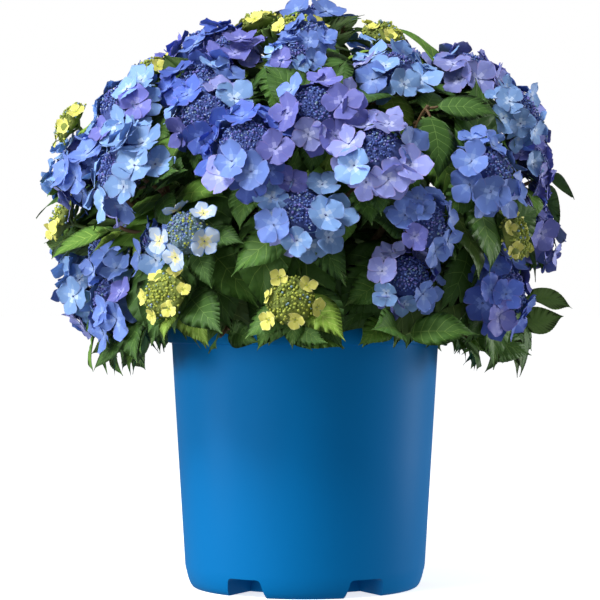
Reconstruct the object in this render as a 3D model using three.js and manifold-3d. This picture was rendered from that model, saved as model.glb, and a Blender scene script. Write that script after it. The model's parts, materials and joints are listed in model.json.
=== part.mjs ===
// A lacecap hydrangea shrub in its nursery pot: pot, potting mix, a short woody stem, one cane to each
// mass of foliage, and the masses with their twigs, leaves and flower clusters. Millimetres, +Z up, with
// the origin at the middle of the pot's underside. Azimuths are in degrees from the front (-Y) to +X.
import * as THREE from "three";
import { mergeVertices } from "three/addons/utils/BufferGeometryUtils.js";
import Module from "manifold-3d";

const wasm = await Module();
wasm.setup();

// ---- Driving sizes ----------------------------------------------------------------------------------
const CLEAR = 0.3; // gap between pieces that touch

const POT = {
  height: 232.5,
  rimRadius: 123,
  rimBand: 15, // height of the rolled rim
  topRadius: 119.5, // wall just under the rim
  shoulderRadius: 107.5, // where the wall starts to turn under
  shoulderHeight: 20,
  footRadius: 100,
  wall: 2.4,
  sides: 30,
};
const NOTCH = { count: 6, innerRadius: 64, height: 16, widthBelow: 40, widthAbove: 33 };
const SOIL = { belowRim: 17, mound: 5 };
const STEM = { flareRadius: 15, waistRadius: 10, topRadius: 6.5, height: 38, sides: 10 };

const CROWN = {
  centre: 318, // height of its middle
  radius: 210, // from the axis to the flower clusters at the sides
  rise: 186, // from the middle to the flower clusters at the top
  coreShare: 0.52, // inside this share of the crown there are only canes
  forkShare: 0.68, // where a mass's stem forks into twigs
  reach: 246, // furthest leaf tip from the axis
  top: 522, // highest leaf tip
  skirt: 186, // lowest leaf tip
};
// Leaves hang past the rim only at the plant's left and right: up to a distance from its middle plane
// they stay above the brim, and from a further one they reach down to the skirt. Below the hem the
// crown's reach draws in, by this share of the way down.
const BRIM = { height: 213, near: 122, far: 150 };
const HEM = { height: 250, drawIn: 0.75 };

// Rings of foliage masses from the top down: how many, and at what height angle in degrees.
const MASS_RINGS = [
  { name: "top", count: 1, height: 90, turn: 0 },
  { name: "upper", count: 5, height: 47, turn: 36 },
  { name: "lower", count: 9, height: 2, turn: 20 },
];

// Tiers of shoots from the top down, and how far out each stands. Each letter is one shoot's tip, evenly
// spaced from the back (-180) through the left, the front and the right: F full cluster, G a grand one,
// H half open, Y young and green, L leaves alone.
const TIERS = [
  { height: 78, turn: 0, share: 0.98, tips: "FYYL" },
  { height: 62, turn: 0, share: 0.95, tips: "FYGFFYFF" },
  { height: 46, turn: 0, share: 0.97, tips: "FFFYGFFFFY" },
  { height: 30, turn: 0, share: 1.04, tips: "FFFYFFFLFFHF" },
  { height: 15, turn: 0, share: 1.05, tips: "FLFFFGGFFFLFF" },
  { height: -1, turn: 0, share: 1, tips: "FYFFYLHFFYFFFY" },
  { height: -18, turn: 13, share: 0.98, tips: "FLFFFYYFFLFLF" },
  { height: -29, turn: 0, share: 0.98, tips: "LLLLLLLLLLLL" },
];
// How much chance moves a shoot: azimuth as a share of the spacing, height in degrees, share of the way
// out, and the sway of its cluster; clusters lean up, and young ones stand further out.
const SCATTER = { azimuth: 0.35, height: 7, share: 0.13, sway: 0.5 };
const LEAN = 0.25;
const YOUNG_SHARE = 0.04;

// Flower clusters: radius, and florets round the rim.
const BLOOMS = {
  F: { radius: 42, florets: 6 },
  G: { radius: 50, florets: 7 },
  H: { radius: 33, florets: 5 },
  Y: { radius: 25, florets: 4 },
};
const BLOOM = { rise: 0.3, depth: 0.28, shoulder: 0.55, notch: 0.74 }; // shares of the radius
const BLOOM_SIZES = [1, 0.88, 0.76, 0.64, 0.54, 0.46];

const LEAF = { length: 110, width: 0.62, widest: 0.42, thickness: 1.8, sink: 0.8 };
// A leaf that would leave its space is raised or lowered, then turned about its twig, then made smaller,
// and skipped when none of these does.
const LEAF_TRIES = [1.2, 0.96, 0.76, 0.6].flatMap((size) =>
  [0, 25, -25, 50, -50].flatMap((turn) => [0, 20, -20].map((lift) => ({ lift, turn, size }))),
);
const PAIRS = [
  { at: 0.42, size: 1.05, rise: 26 },
  { at: 0.74, size: 0.95, rise: 12 },
];
const TIP_PAIR = { at: 0.97, size: 0.85, rise: 35 }; // at the tip of a shoot that has no cluster
const DROOP = { top: -0.1, skirt: 0.95 }; // how far leaves hang, at the crown's top and at its skirt
const TWIG = { base: 1.8, tip: 1.4, steps: 2, sides: 3 };
const MASS_STEM = { base: 3, tip: 3.4, steps: 2, sides: 5 }; // swells where it forks
const FORK_SINK = 3; // twigs start this far inside their mass's stem
const CANE = { base: 3.4, tip: 3, steps: 4, sides: 5 };
const CANE_ROOT = { lowest: 0.2, stagger: 0.2, climb: 0.45, bend: 0.42 }; // shares of the stem's height
const SPACE_GAP = 1.2; // half of the least gap between two masses

const COLOURS = {
  pot: 0x1a86cf,
  soil: 0x3a2b20,
  bark: 0x7a6248,
  foliage: 0x3f6b2c,
};

// ---- Small tools ------------------------------------------------------------------------------------
const UP = new THREE.Vector3(0, 0, 1);
const { degToRad: radians, clamp, lerp, mapLinear } = THREE.MathUtils;

// Repeatable numbers between 0 and 1.
function seeded(seed) {
  let state = seed;
  return () => {
    state = (state * 16807) % 2147483647;
    return state / 2147483647;
  };
}

function solidFrom(geometry) {
  const bare = geometry.clone();
  for (const name of ["normal", "uv"]) bare.deleteAttribute(name);
  const merged = mergeVertices(bare, 1e-4);
  const corners = merged.index.array;
  const faces = [];
  for (let i = 0; i < corners.length; i += 3) {
    const [a, b, c] = corners.slice(i, i + 3);
    if (a !== b && b !== c && c !== a) faces.push(a, b, c);
  }
  return new wasm.Manifold(
    new wasm.Mesh({
      numProp: 3,
      vertProperties: merged.attributes.position.array,
      triVerts: new Uint32Array(faces),
    }),
  );
}

// A solid's largest body as a named mesh; loose scraps are dropped.
function meshFrom(name, solid, colour, roughness = 0.7) {
  const whole = solid.decompose().sort((a, b) => b.volume() - a.volume())[0];
  const { vertProperties, triVerts } = whole.getMesh();
  const geometry = new THREE.BufferGeometry()
    .setAttribute("position", new THREE.BufferAttribute(vertProperties, 3))
    .setIndex(new THREE.BufferAttribute(triVerts, 1));
  geometry.computeVertexNormals();
  const material = new THREE.MeshStandardMaterial({ color: colour, roughness, metalness: 0 });
  const mesh = new THREE.Mesh(geometry, material);
  mesh.name = name;
  return mesh;
}

// A profile of [radius, height] points turned about the Z axis.
function turned(points, sides) {
  const profile = points.map(([r, z]) => new THREE.Vector2(r, z));
  return new THREE.LatheGeometry(profile, sides).rotateX(Math.PI / 2);
}

// A tapering limb along a curve, with flat ends.
function limb(curve, { base, tip, steps, sides }) {
  const frames = curve.computeFrenetFrames(steps);
  const places = [];
  for (let i = 0; i <= steps; i++) {
    const middle = curve.getPointAt(i / steps);
    const radius = lerp(base, tip, i / steps);
    for (let j = 0; j < sides; j++) {
      const angle = (2 * Math.PI * j) / sides;
      const corner = middle
        .clone()
        .addScaledVector(frames.normals[i], radius * Math.cos(angle))
        .addScaledVector(frames.binormals[i], radius * Math.sin(angle));
      places.push(...corner.toArray());
    }
  }
  const faces = [];
  for (let j = 0; j < sides; j++) {
    const next = (j + 1) % sides;
    for (let i = 0; i < steps; i++) {
      const here = i * sides;
      faces.push(here + j, here + next, here + sides + next);
      faces.push(here + j, here + sides + next, here + sides + j);
    }
    if (j === 0 || next === 0) continue;
    const end = steps * sides;
    faces.push(0, next, j, end, end + j, end + next);
  }
  const geometry = new THREE.BufferGeometry();
  geometry.setAttribute("position", new THREE.Float32BufferAttribute(places, 3));
  geometry.setIndex(faces);
  return geometry;
}

// The matrix that stands a piece made along +Z at a place, along a direction.
function standing(place, along) {
  const turn = new THREE.Quaternion().setFromUnitVectors(UP, along);
  return new THREE.Matrix4().compose(place, turn, new THREE.Vector3(1, 1, 1));
}

// ---- Pot and potting mix ----------------------------------------------------------------------------
const RIM_FOOT = POT.height - POT.rimBand;

// Radius of the pot's straight wall at a height.
function wallRadius(z) {
  return mapLinear(z, POT.shoulderHeight, RIM_FOOT, POT.shoulderRadius, POT.topRadius);
}

// The pot's profile from its underside to the shoulder, moved in by the given amount.
function lowerProfile(inset) {
  const { footRadius, shoulderRadius, shoulderHeight } = POT;
  const turnUnder = new THREE.Path();
  turnUnder.moveTo(footRadius - inset, inset);
  turnUnder.quadraticCurveTo(footRadius + 5 - inset, inset + 2, shoulderRadius - inset, shoulderHeight);
  return [[0, inset], ...turnUnder.getPoints(3).map((p) => [p.x, p.y])];
}

// The recesses between the feet, wider below, grown on every side by the given amount.
function recesses(grow) {
  const { count, innerRadius, height, widthBelow, widthAbove } = NOTCH;
  const depth = POT.topRadius - innerRadius;
  const below = -5; // the cutting block starts under the pot
  const outline = new THREE.Shape();
  outline.moveTo(-widthBelow / 2 - grow, below);
  outline.lineTo(widthBelow / 2 + grow, below);
  outline.lineTo(widthAbove / 2 + grow, height + grow);
  outline.lineTo(-widthAbove / 2 - grow, height + grow);
  outline.closePath();
  const block = new THREE.ExtrudeGeometry(outline, { depth: depth + grow, bevelEnabled: false })
    .rotateX(Math.PI / 2)
    .translate(0, -innerRadius + grow, 0);
  return Array.from({ length: count }, (_, i) =>
    solidFrom(block.clone().rotateZ((2 * Math.PI * (i + 0.5)) / count)),
  );
}

function potSolid() {
  const { height, rimRadius, topRadius, wall, sides } = POT;
  const bead = 1.5; // bevel at the rim's top edge
  const outline = [
    ...lowerProfile(0),
    [topRadius, RIM_FOOT],
    [rimRadius, RIM_FOOT],
    [rimRadius, height - bead],
    [rimRadius - bead, height],
    [0, height],
  ];
  const room = [
    ...lowerProfile(wall),
    [topRadius - wall, RIM_FOOT],
    [topRadius - wall, height + wall],
    [0, height + wall],
  ];
  const form = wasm.Manifold.difference([solidFrom(turned(outline, sides)), ...recesses(0)]);
  return form.subtract(wasm.Manifold.difference([solidFrom(turned(room, sides)), ...recesses(wall)]));
}

const SOIL_LEVEL = POT.height - SOIL.belowRim;

function soilSolid() {
  const inset = POT.wall + CLEAR;
  const outline = [
    ...lowerProfile(inset),
    [wallRadius(SOIL_LEVEL) - inset, SOIL_LEVEL],
    [POT.topRadius * 0.55, SOIL_LEVEL + SOIL.mound * 0.6],
    [STEM.flareRadius + 6, SOIL_LEVEL + SOIL.mound],
    [0, SOIL_LEVEL + SOIL.mound],
  ];
  return wasm.Manifold.difference([solidFrom(turned(outline, POT.sides)), ...recesses(inset)]);
}

// ---- Stem and canes ---------------------------------------------------------------------------------
const STEM_FOOT = SOIL_LEVEL + SOIL.mound + CLEAR;

function stemSolid(grow) {
  const { flareRadius, waistRadius, topRadius, height, sides } = STEM;
  const profile = [
    [0, STEM_FOOT - grow],
    [flareRadius + grow, STEM_FOOT - grow],
    [waistRadius + 2 + grow, STEM_FOOT + height * 0.18],
    [waistRadius + grow, STEM_FOOT + height * 0.5],
    [topRadius + grow, STEM_FOOT + height + grow],
    [0, STEM_FOOT + height + grow],
  ];
  return solidFrom(turned(profile, sides));
}

// A point of the crown: a direction by azimuth and height angle, and a share of the way out.
function crownPoint(azimuth, height, share) {
  const a = radians(azimuth);
  const h = radians(height);
  return new THREE.Vector3(
    share * CROWN.radius * Math.cos(h) * Math.sin(a),
    -share * CROWN.radius * Math.cos(h) * Math.cos(a),
    CROWN.centre + share * CROWN.rise * Math.sin(h),
  );
}

function massesOf(rings) {
  return rings.flatMap(({ name, count, height, turn }) =>
    Array.from({ length: count }, (_, i) => {
      const azimuth = -180 + turn + (360 * i) / count;
      return {
        name: count > 1 ? `${name}_${i + 1}` : name,
        stagger: i % 2,
        azimuth,
        height,
        entry: crownPoint(azimuth, height, CROWN.coreShare),
        fork: crownPoint(azimuth, height, CROWN.forkShare),
      };
    }),
  );
}

// The line of a cane from the stem's side to where it enters its mass.
function caneCurve(mass) {
  const { lowest, stagger, climb, bend: rise } = CANE_ROOT;
  const upright = Math.max(0, mass.height) / 90;
  const share = mass.height === 90 ? 0.9 : lowest + stagger * mass.stagger + climb * upright;
  const root = new THREE.Vector3(0, 0, STEM_FOOT + STEM.height * share);
  const bend = crownPoint(mass.azimuth, mass.height, CROWN.coreShare * 0.5);
  bend.z = lerp(root.z, mass.entry.z, rise);
  return new THREE.QuadraticBezierCurve3(root, bend, mass.entry);
}

// ---- Shoots -----------------------------------------------------------------------------------------
function shootsOf(tiers, masses) {
  const shoots = [];
  for (const { height, turn, share, tips } of tiers) {
    [...tips].forEach((kind, i) => {
      const random = seeded(4001 + 7919 * (shoots.length + 1));
      const azimuth = -180 + turn + (360 * (i + SCATTER.azimuth * (random() - 0.5))) / tips.length;
      const tilt = height + SCATTER.height * (random() - 0.5);
      const further = SCATTER.share * (random() - 0.5) + (kind === "Y" ? YOUNG_SHARE : 0);
      const middle = crownPoint(azimuth, tilt, share + further);
      const sway = new THREE.Vector3(random() - 0.5, random() - 0.5, random() - 0.5);
      const axis = crownPoint(azimuth, tilt, 1).sub(new THREE.Vector3(0, 0, CROWN.centre)).normalize();
      axis.addScaledVector(sway, SCATTER.sway).addScaledVector(UP, LEAN).normalize();
      const mass = masses.reduce((best, m) =>
        m.fork.distanceTo(middle) < best.fork.distanceTo(middle) ? m : best,
      );
      shoots.push({ kind, middle, axis, mass, random });
    });
  }
  return shoots;
}

const masses = massesOf(MASS_RINGS);
const shoots = shootsOf(TIERS, masses);

// True where a point belongs to the mass: nearer to its own shoots than to any other mass's, outside the
// core that the canes keep to, clear of the pot, above the brim and inside the crown's outline.
function inSpace(point, mass) {
  let own = Infinity;
  let other = Infinity;
  for (const shoot of shoots) {
    const away = shoot.middle.distanceTo(point);
    if (shoot.mass === mass) own = Math.min(own, away);
    else other = Math.min(other, away);
  }
  if (own > other - 2 * SPACE_GAP) return false;
  const out = Math.hypot(point.x, point.y);
  const up = point.z - CROWN.centre;
  if (Math.hypot(out / CROWN.radius, up / CROWN.rise) < CROWN.coreShare + 0.02) return false;
  if (point.z < POT.height + 4 && out < POT.rimRadius + 3) return false;
  const { height, near, far } = BRIM;
  const aside = clamp(Math.abs(point.x), near, far);
  if (point.z < mapLinear(aside, near, far, height, CROWN.skirt)) return false;
  const reach = CROWN.reach - HEM.drawIn * Math.max(0, HEM.height - point.z);
  return Math.hypot(out / reach, Math.max(0, up) / (CROWN.top - CROWN.centre)) < 1;
}

// A piece keeps to its mass's space if its corners and the middles between them do.
function keepsToSpace(geometry, mass) {
  const corners = mergeVertices(geometry.clone().deleteAttribute("normal").deleteAttribute("uv"));
  const { position } = corners.attributes;
  const places = Array.from({ length: position.count }, (_, i) =>
    new THREE.Vector3().fromBufferAttribute(position, i),
  );
  const middle = places.reduce((sum, p) => sum.add(p), new THREE.Vector3()).divideScalar(places.length);
  return places.every((p) => inSpace(p, mass) && inSpace(p.clone().lerp(middle, 0.5), mass));
}

// ---- Leaves -----------------------------------------------------------------------------------------
// A pointed blade of eight faces, rooted at the origin, along +X with its face up.
function leafGeometry(length) {
  const { width, widest, thickness } = LEAF;
  const leaf = new THREE.OctahedronGeometry(1);
  const { position } = leaf.attributes;
  for (let i = 0; i < position.count; i++) {
    const x = Math.round(position.getX(i));
    const along = x === 0 ? widest : (x + 1) / 2;
    const side = (position.getY(i) * width) / 2;
    const face = (position.getZ(i) * thickness) / 2;
    position.setXYZ(i, along * length, side * length, face);
  }
  return leaf;
}

// Places a leaf at its root, along its direction, with its face turned up and out.
function placedLeaf({ root, twig, along, face, length }, { lift, turn, size }) {
  const tipward = along.clone().applyAxisAngle(twig, radians(turn));
  const side = new THREE.Vector3().crossVectors(face, tipward).normalize();
  tipward.applyAxisAngle(side, radians(-lift));
  const upper = new THREE.Vector3().crossVectors(tipward, side);
  const matrix = new THREE.Matrix4().makeBasis(tipward, side, upper);
  matrix.setPosition(root.clone().addScaledVector(tipward, -LEAF.sink));
  return leafGeometry(length * size + LEAF.sink).applyMatrix4(matrix);
}

// The leaves of a twig, in opposite pairs, each pair turned by a right angle from the one before.
function leavesOf(shoot, curve) {
  const leaves = [];
  const start = 360 * shoot.random();
  const pairs = shoot.kind === "L" ? [...PAIRS, TIP_PAIR] : PAIRS;
  pairs.forEach((pair, k) => {
    const root = curve.getPointAt(pair.at);
    const along = curve.getTangentAt(pair.at);
    const droop = mapLinear(root.z, CROWN.top, CROWN.skirt, DROOP.top, DROOP.skirt);
    for (const opposite of [0, 180]) {
      const angle = start + 90 * k + opposite + 30 * (shoot.random() - 0.5);
      const length = LEAF.length * pair.size * (0.85 + 0.3 * shoot.random());
      const out = new THREE.Vector3(1, 0, 0).applyMatrix4(standing(new THREE.Vector3(), along));
      out.applyAxisAngle(along, radians(angle));
      out.multiplyScalar(Math.cos(radians(pair.rise))).addScaledVector(along, Math.sin(radians(pair.rise)));
      out.addScaledVector(UP, -droop).normalize();
      const face = shoot.axis.clone().addScaledVector(UP, 0.4);
      leaves.push({ shoot, root, twig: along, along: out, face, length });
    }
  });
  return leaves;
}

// ---- Flower clusters --------------------------------------------------------------------------------
// A low dome whose rim runs out into one lobe for each floret round it.
function bloomGeometry({ radius, florets }) {
  const { rise, depth, shoulder, notch } = BLOOM;
  const profile = [
    [0, -depth * radius],
    [radius, 0],
    [shoulder * radius, rise * radius],
    [0, rise * radius * 1.1],
  ];
  const cap = turned(profile, 2 * florets);
  const { position } = cap.attributes;
  for (let side = 1; side < 2 * florets; side += 2) {
    const rim = side * profile.length + 1;
    position.setXY(rim, position.getX(rim) * notch, position.getY(rim) * notch);
  }
  return cap;
}

// The cluster at a shoot's tip, as large as its mass's space allows, or nothing.
function bloomOf(shoot) {
  if (shoot.kind === "L") return undefined;
  const { radius, florets } = BLOOMS[shoot.kind];
  const turn = 2 * Math.PI * shoot.random();
  const stand = standing(shoot.middle, shoot.axis);
  return BLOOM_SIZES
    .map((size) => bloomGeometry({ radius: radius * size, florets }).rotateZ(turn).applyMatrix4(stand))
    .find((bloom) => keepsToSpace(bloom, shoot.mass));
}

// ---- Masses -----------------------------------------------------------------------------------------
function twigCurve(shoot) {
  const { entry, fork } = shoot.mass;
  const inStem = fork.clone().lerp(entry, FORK_SINK / fork.distanceTo(entry));
  const foot = shoot.middle.clone().addScaledVector(shoot.axis, -1);
  const bend = foot.clone().addScaledVector(shoot.axis, -0.4 * fork.distanceTo(foot));
  return new THREE.QuadraticBezierCurve3(inStem, bend, foot);
}

// True if two solids share any space.
function clash(a, b) {
  const [low, high] = [a.boundingBox(), b.boundingBox()];
  const apart = [0, 1, 2].some((k) => low.max[k] < high.min[k] || high.max[k] < low.min[k]);
  return !apart && !a.intersect(b).isEmpty();
}

// The leaf as a solid, at the first try that keeps to its space and touches nothing but its own twig.
function fittingLeaf(leaf, mass, others) {
  for (const change of LEAF_TRIES) {
    const geometry = placedLeaf(leaf, change);
    if (!keepsToSpace(geometry, mass)) continue;
    const solid = solidFrom(geometry);
    if (!others.some((other) => clash(other.solid, solid))) return solid;
  }
  return undefined;
}

// A mass: its stem, each shoot's twig and cluster, and then the leaves that find room among them.
function massSolid(mass) {
  const onward = caneCurve(mass).getTangentAt(1);
  const foot = mass.entry.clone().addScaledVector(onward, CLEAR);
  const bend = mass.entry.clone().addScaledVector(onward, mass.entry.distanceTo(mass.fork) / 2);
  const stem = limb(new THREE.QuadraticBezierCurve3(foot, bend, mass.fork), MASS_STEM);
  const placed = [{ solid: solidFrom(stem) }];
  const wanted = [];
  for (const shoot of shoots.filter((s) => s.mass === mass)) {
    const curve = twigCurve(shoot);
    placed.push({ shoot, solid: solidFrom(limb(curve, TWIG)) });
    const bloom = bloomOf(shoot);
    if (bloom) placed.push({ solid: solidFrom(bloom) });
    wanted.push(...leavesOf(shoot, curve));
  }
  for (const leaf of wanted) {
    const others = placed.filter((p) => p.shoot !== leaf.shoot && p.root !== leaf.root);
    const solid = fittingLeaf(leaf, mass, others);
    if (solid) placed.push({ solid, root: leaf.root });
  }
  return wasm.Manifold.union(placed.map((p) => p.solid));
}

// ---- The whole plant --------------------------------------------------------------------------------
const plant = new THREE.Group();
plant.add(meshFrom("pot", potSolid(), COLOURS.pot, 0.4));
plant.add(meshFrom("potting_mix", soilSolid(), COLOURS.soil, 1));
plant.add(meshFrom("stem", stemSolid(0), COLOURS.bark, 0.9));

const stemRoom = stemSolid(CLEAR);
for (const mass of masses) {
  const cane = solidFrom(limb(caneCurve(mass), CANE)).subtract(stemRoom);
  plant.add(meshFrom(`cane_${mass.name}`, cane, COLOURS.bark, 0.9));
  plant.add(meshFrom(`foliage_${mass.name}`, massSolid(mass), COLOURS.foliage));
}

export default plant;
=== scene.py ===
import json
import math

import bpy
import numpy as np
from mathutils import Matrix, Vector
from mathutils.bvhtree import BVHTree

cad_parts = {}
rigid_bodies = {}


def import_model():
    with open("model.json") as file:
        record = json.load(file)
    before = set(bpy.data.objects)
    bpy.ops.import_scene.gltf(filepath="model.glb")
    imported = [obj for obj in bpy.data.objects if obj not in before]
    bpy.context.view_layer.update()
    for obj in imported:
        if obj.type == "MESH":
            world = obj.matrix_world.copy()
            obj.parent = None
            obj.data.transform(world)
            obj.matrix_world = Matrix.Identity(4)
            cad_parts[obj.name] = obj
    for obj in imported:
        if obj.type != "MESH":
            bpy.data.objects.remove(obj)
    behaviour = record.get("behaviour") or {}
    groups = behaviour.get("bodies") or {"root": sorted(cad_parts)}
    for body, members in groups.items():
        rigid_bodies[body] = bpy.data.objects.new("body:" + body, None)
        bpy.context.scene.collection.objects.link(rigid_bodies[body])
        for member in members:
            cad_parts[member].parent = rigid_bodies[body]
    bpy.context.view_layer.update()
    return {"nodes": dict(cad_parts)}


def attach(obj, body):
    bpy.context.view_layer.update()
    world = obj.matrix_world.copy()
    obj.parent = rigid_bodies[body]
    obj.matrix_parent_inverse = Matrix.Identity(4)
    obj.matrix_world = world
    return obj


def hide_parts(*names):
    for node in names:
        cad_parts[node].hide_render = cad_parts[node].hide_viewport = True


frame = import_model()
NODES = list(frame["nodes"])

MM = 0.001
UP = np.array([0.0, 0.0, 1.0])

# ---- Sizes of the pot and the plant ------------------------------------------------------------------
CLEAR = 0.3  # gap between pieces that touch
POT = dict(height=232.5, rim=123, band=15, bead=2, top=119.5, wall=2.4, shoulder=107.5, bend=20, foot=100)
NOTCH = dict(count=6, inner=64, height=16, below=40, above=33, corner=4)
RIM_FOOT = POT["height"] - POT["band"]
SOIL_LEVEL = POT["height"] - 17
MOUND = 5
STEM = dict(flare=15, waist=10, top=6.5, height=38)
STEM_FOOT = SOIL_LEVEL + MOUND + CLEAR

CENTRE = 318  # height of the crown's middle
RADIUS = 210  # from the axis to the flower clusters at the sides
RISE = 186  # from the middle to the flower clusters at the top
CORE_SHARE = 0.52  # inside this share of the crown there are only canes
FORK_SHARE = 0.68  # where a mass's stem forks into twigs
REACH = 246  # furthest leaf tip from the axis
TOP = 522  # highest leaf tip
SKIRT = 186  # lowest leaf tip
# Leaves hang past the rim only at the plant's left and right: up to a distance from its middle plane
# they stay above the brim, and from a further one they reach down to the skirt. Below the hem the
# crown's reach draws in, by this share of the way down.
BRIM = dict(height=213, near=122, far=150)
HEM = dict(height=250, draw_in=0.75)
KNIT = 14  # how far a leaf may reach past the middle between two masses

# Rings of masses: name, count, height angle, turn.
MASS_RINGS = [("top", 1, 90, 0), ("upper", 5, 47, 36), ("lower", 9, 2, 20)]

# Tiers of shoots from the top down: height angle, turn, share of the way out, and two letters for each
# shoot, from the back through the left, the front and the right. The first is its tip: F full cluster,
# G a grand one, H half open, Y young and green, L leaves alone. The second is its tint: s sky, b blue,
# v violet, l lilac, d deep, c cream, y lime.
TIERS = [
    (78, 0, 0.98, "FYYL", "byyb"),
    (62, 0, 0.95, "FYGFFYFF", "bydvbyls"),
    (46, 0, 0.97, "FFFYGFFFFY", "bsvydbslby"),
    (30, 0, 1.04, "FFFYFFFLFFHF", "bvlysdvbslcb"),
    (15, 0, 1.05, "FLFFFGGFFFLFF", "sbbsbsdlbvbsb"),
    (-1, 0, 1, "FYFFYLHFFYFFFY", "dybsybcsbyvlby"),
    (-18, 13, 0.98, "FLFFFYYFFLFLF", "bbvsbyyldbbbs"),
    (-29, 0, 0.98, "LLLLLLLLLLLL", "bbbbbbbbbbbb"),
]
SCATTER = dict(azimuth=0.35, height=7, share=0.13, sway=0.5)
LEAN = 0.25  # how far clusters turn upwards
YOUNG_SHARE = 0.04  # how much further out the young clusters stand
BASE_SEED, SEED_STEP = 4001, 7919

# Flower clusters: radius, florets in a ring, rings, florets over the dome, radius of a floret, buds in
# the dome, and the bud tone of the cushion under them, which is darkened there as painted shade. S is the
# small cluster of a side shoot.
BLOOMS = {
    "F": dict(radius=42, florets=7, rings=2, over=1, floret=16.5, buds=400, shaded_cushion="indigo"),
    "G": dict(radius=50, florets=8, rings=2, over=2, floret=18, buds=570, shaded_cushion="indigo"),
    "H": dict(radius=33, florets=5, rings=1, over=0, floret=12.5, buds=250, shaded_cushion="teal"),
    "Y": dict(radius=25, florets=3, rings=2, over=0, floret=8, buds=170, shaded_cushion="moss"),
    "S": dict(radius=29, florets=5, rings=1, over=0, floret=15, buds=170, shaded_cushion="indigo"),
}
CROWDING = 1.4  # how far neighbouring clusters may push into each other
LEAST_BLOOM = 0.6  # share of its radius that a crowded cluster keeps
BLOOM_DEPTH = 0.28  # how far below a cluster's middle its stalks part, as a share of its radius
DOME = dict(share=0.57, rise=0.42, sink=0.05, knobs=9, knob=1.8)  # knobs are where its branches end
YOUNG_DOME = dict(DOME, share=0.82, knob=3)
GOLDEN_ANGLE = 2.39996  # radians from one place of a spiral to the next
# Side shoots: share of the way out, places that are tried, degrees from one to the next, the lowest
# one's sine, room to clusters.
SIDE = dict(share=0.96, places=160, turn=137.508, lowest=-0.2, room=19)

LEAF_LENGTH = 110
# What a leaf tries until it fits: share of its length, degrees about the twig, degrees of lift.
LEAF_TRIES = [
    (size, turn, lift)
    for size in (0.86, 0.74, 0.62, 0.5)
    for turn in (0, 25, -25, 50, -50)
    for lift in (0, 20, -20)
]
PAIRS = [(0.42, 1.05, 26), (0.74, 0.95, 12)]  # share of the twig, size, rise
FINER_PAIRS = [(0.22, 0.8, 30), (0.58, 0.85, 20), (0.88, 0.6, 8)]
TIP_PAIR = (0.97, 0.85, 35)
DROOP = (-0.1, 0.85)  # how far leaves hang, at the crown's top and at its skirt
SPREAD = 0.7  # how far the lowest leaves turn outwards
PETIOLE = 0.14  # share of a leaf's length
LEAF_ROOM = 0.6  # radius of the ball round a leaf, as a share of its length
CANE_ROOT = dict(top=0.9, lowest=0.2, stagger=0.2, climb=0.45, bend=0.42)
TWIG_BEND = 0.4
FORK_SINK = 3  # how far a twig starts inside its mass's stem


# ---- Small tools -------------------------------------------------------------------------------------
def unit(v):
    return v / np.linalg.norm(v)


def mix(a, b, share):
    return a + (b - a) * share


def seeded(seed):
    """Repeatable numbers between 0 and 1, the same ones as the solids were made with."""
    state = seed
    while True:
        state = state * 16807 % 2147483647
        yield state / 2147483647


def standing(along):
    """The rotation that turns +Z to a direction by the shortest way."""
    x, y, z = along
    k = 1 / (1 + max(z, -0.999999))
    return np.array([[1 - k * x * x, -k * x * y, x], [-k * x * y, 1 - k * y * y, y], [-x, -y, z]])


def spun(v, axis, degrees):
    """A vector turned about an axis."""
    a = math.radians(degrees)
    return v * math.cos(a) + np.cross(axis, v) * math.sin(a) + axis * (axis @ v) * (1 - math.cos(a))


def around(turns):
    """Places on the unit circle, one row each."""
    return np.stack([np.cos(turns), np.sin(turns)], axis=1)


def bezier(a, b, c, count=48):
    t = np.linspace(0, 1, count)[:, None]
    return (1 - t) ** 2 * a + 2 * t * (1 - t) * b + t * t * c


def lengths_along(path):
    return np.concatenate([[0], np.cumsum(np.linalg.norm(np.diff(path, axis=0), axis=1))])


def place_on(path, share):
    """The point and the direction at a share of a path's length."""
    run = lengths_along(path)
    at = share * run[-1]
    i = int(np.clip(np.searchsorted(run, at) - 1, 0, len(path) - 2))
    step = path[i + 1] - path[i]
    return path[i] + step * (at - run[i]) / np.linalg.norm(step), unit(step)


def evenly(path, count):
    run = lengths_along(path)
    wanted = np.linspace(0, run[-1], count)
    return np.stack([np.interp(wanted, run, path[:, k]) for k in range(3)], axis=1)


def grid_faces(rows, columns, closed):
    """Triangles of a grid of points, row after row; a closed one joins its last column to its first."""
    faces = []
    for i in range(rows - 1):
        for j in range(columns if closed else columns - 1):
            a, b = i * columns + j, i * columns + (j + 1) % columns
            c, d = a + columns, b + columns
            faces += [(a, b, d), (a, d, c)]
    return np.array(faces)


def end_fans(count, sides):
    """Triangles that close a stack of rings with the two points that come after them."""
    fans = []
    for j in range(sides):
        k, last = (j + 1) % sides, (count - 1) * sides
        fans += [(count * sides, k, j), (count * sides + 1, last + j, last + k)]
    return fans


def tube(path, radii, sides):
    """A closed tube along a path, with a blunt point at each end."""
    count = len(path)
    tangents = np.gradient(path, axis=0)
    tangents /= np.linalg.norm(tangents, axis=1)[:, None]
    normal = unit(np.cross(tangents[0], [0.31, 0.95, 0.07]))
    turns = np.linspace(0, 2 * math.pi, sides, endpoint=False)
    rings = []
    for i in range(count):
        normal = unit(normal - tangents[i] * (normal @ tangents[i]))
        across = np.cross(tangents[i], normal)
        spokes = around(turns) @ [normal, across]
        rings.append(path[i] + spokes * radii[i])
    ends = [path[0] - tangents[0] * radii[0] * 0.3, path[-1] + tangents[-1] * radii[-1] * 0.3]
    faces = np.vstack([grid_faces(count, sides, True), end_fans(count, sides)])
    return np.vstack(rings + [ends]), faces


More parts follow.
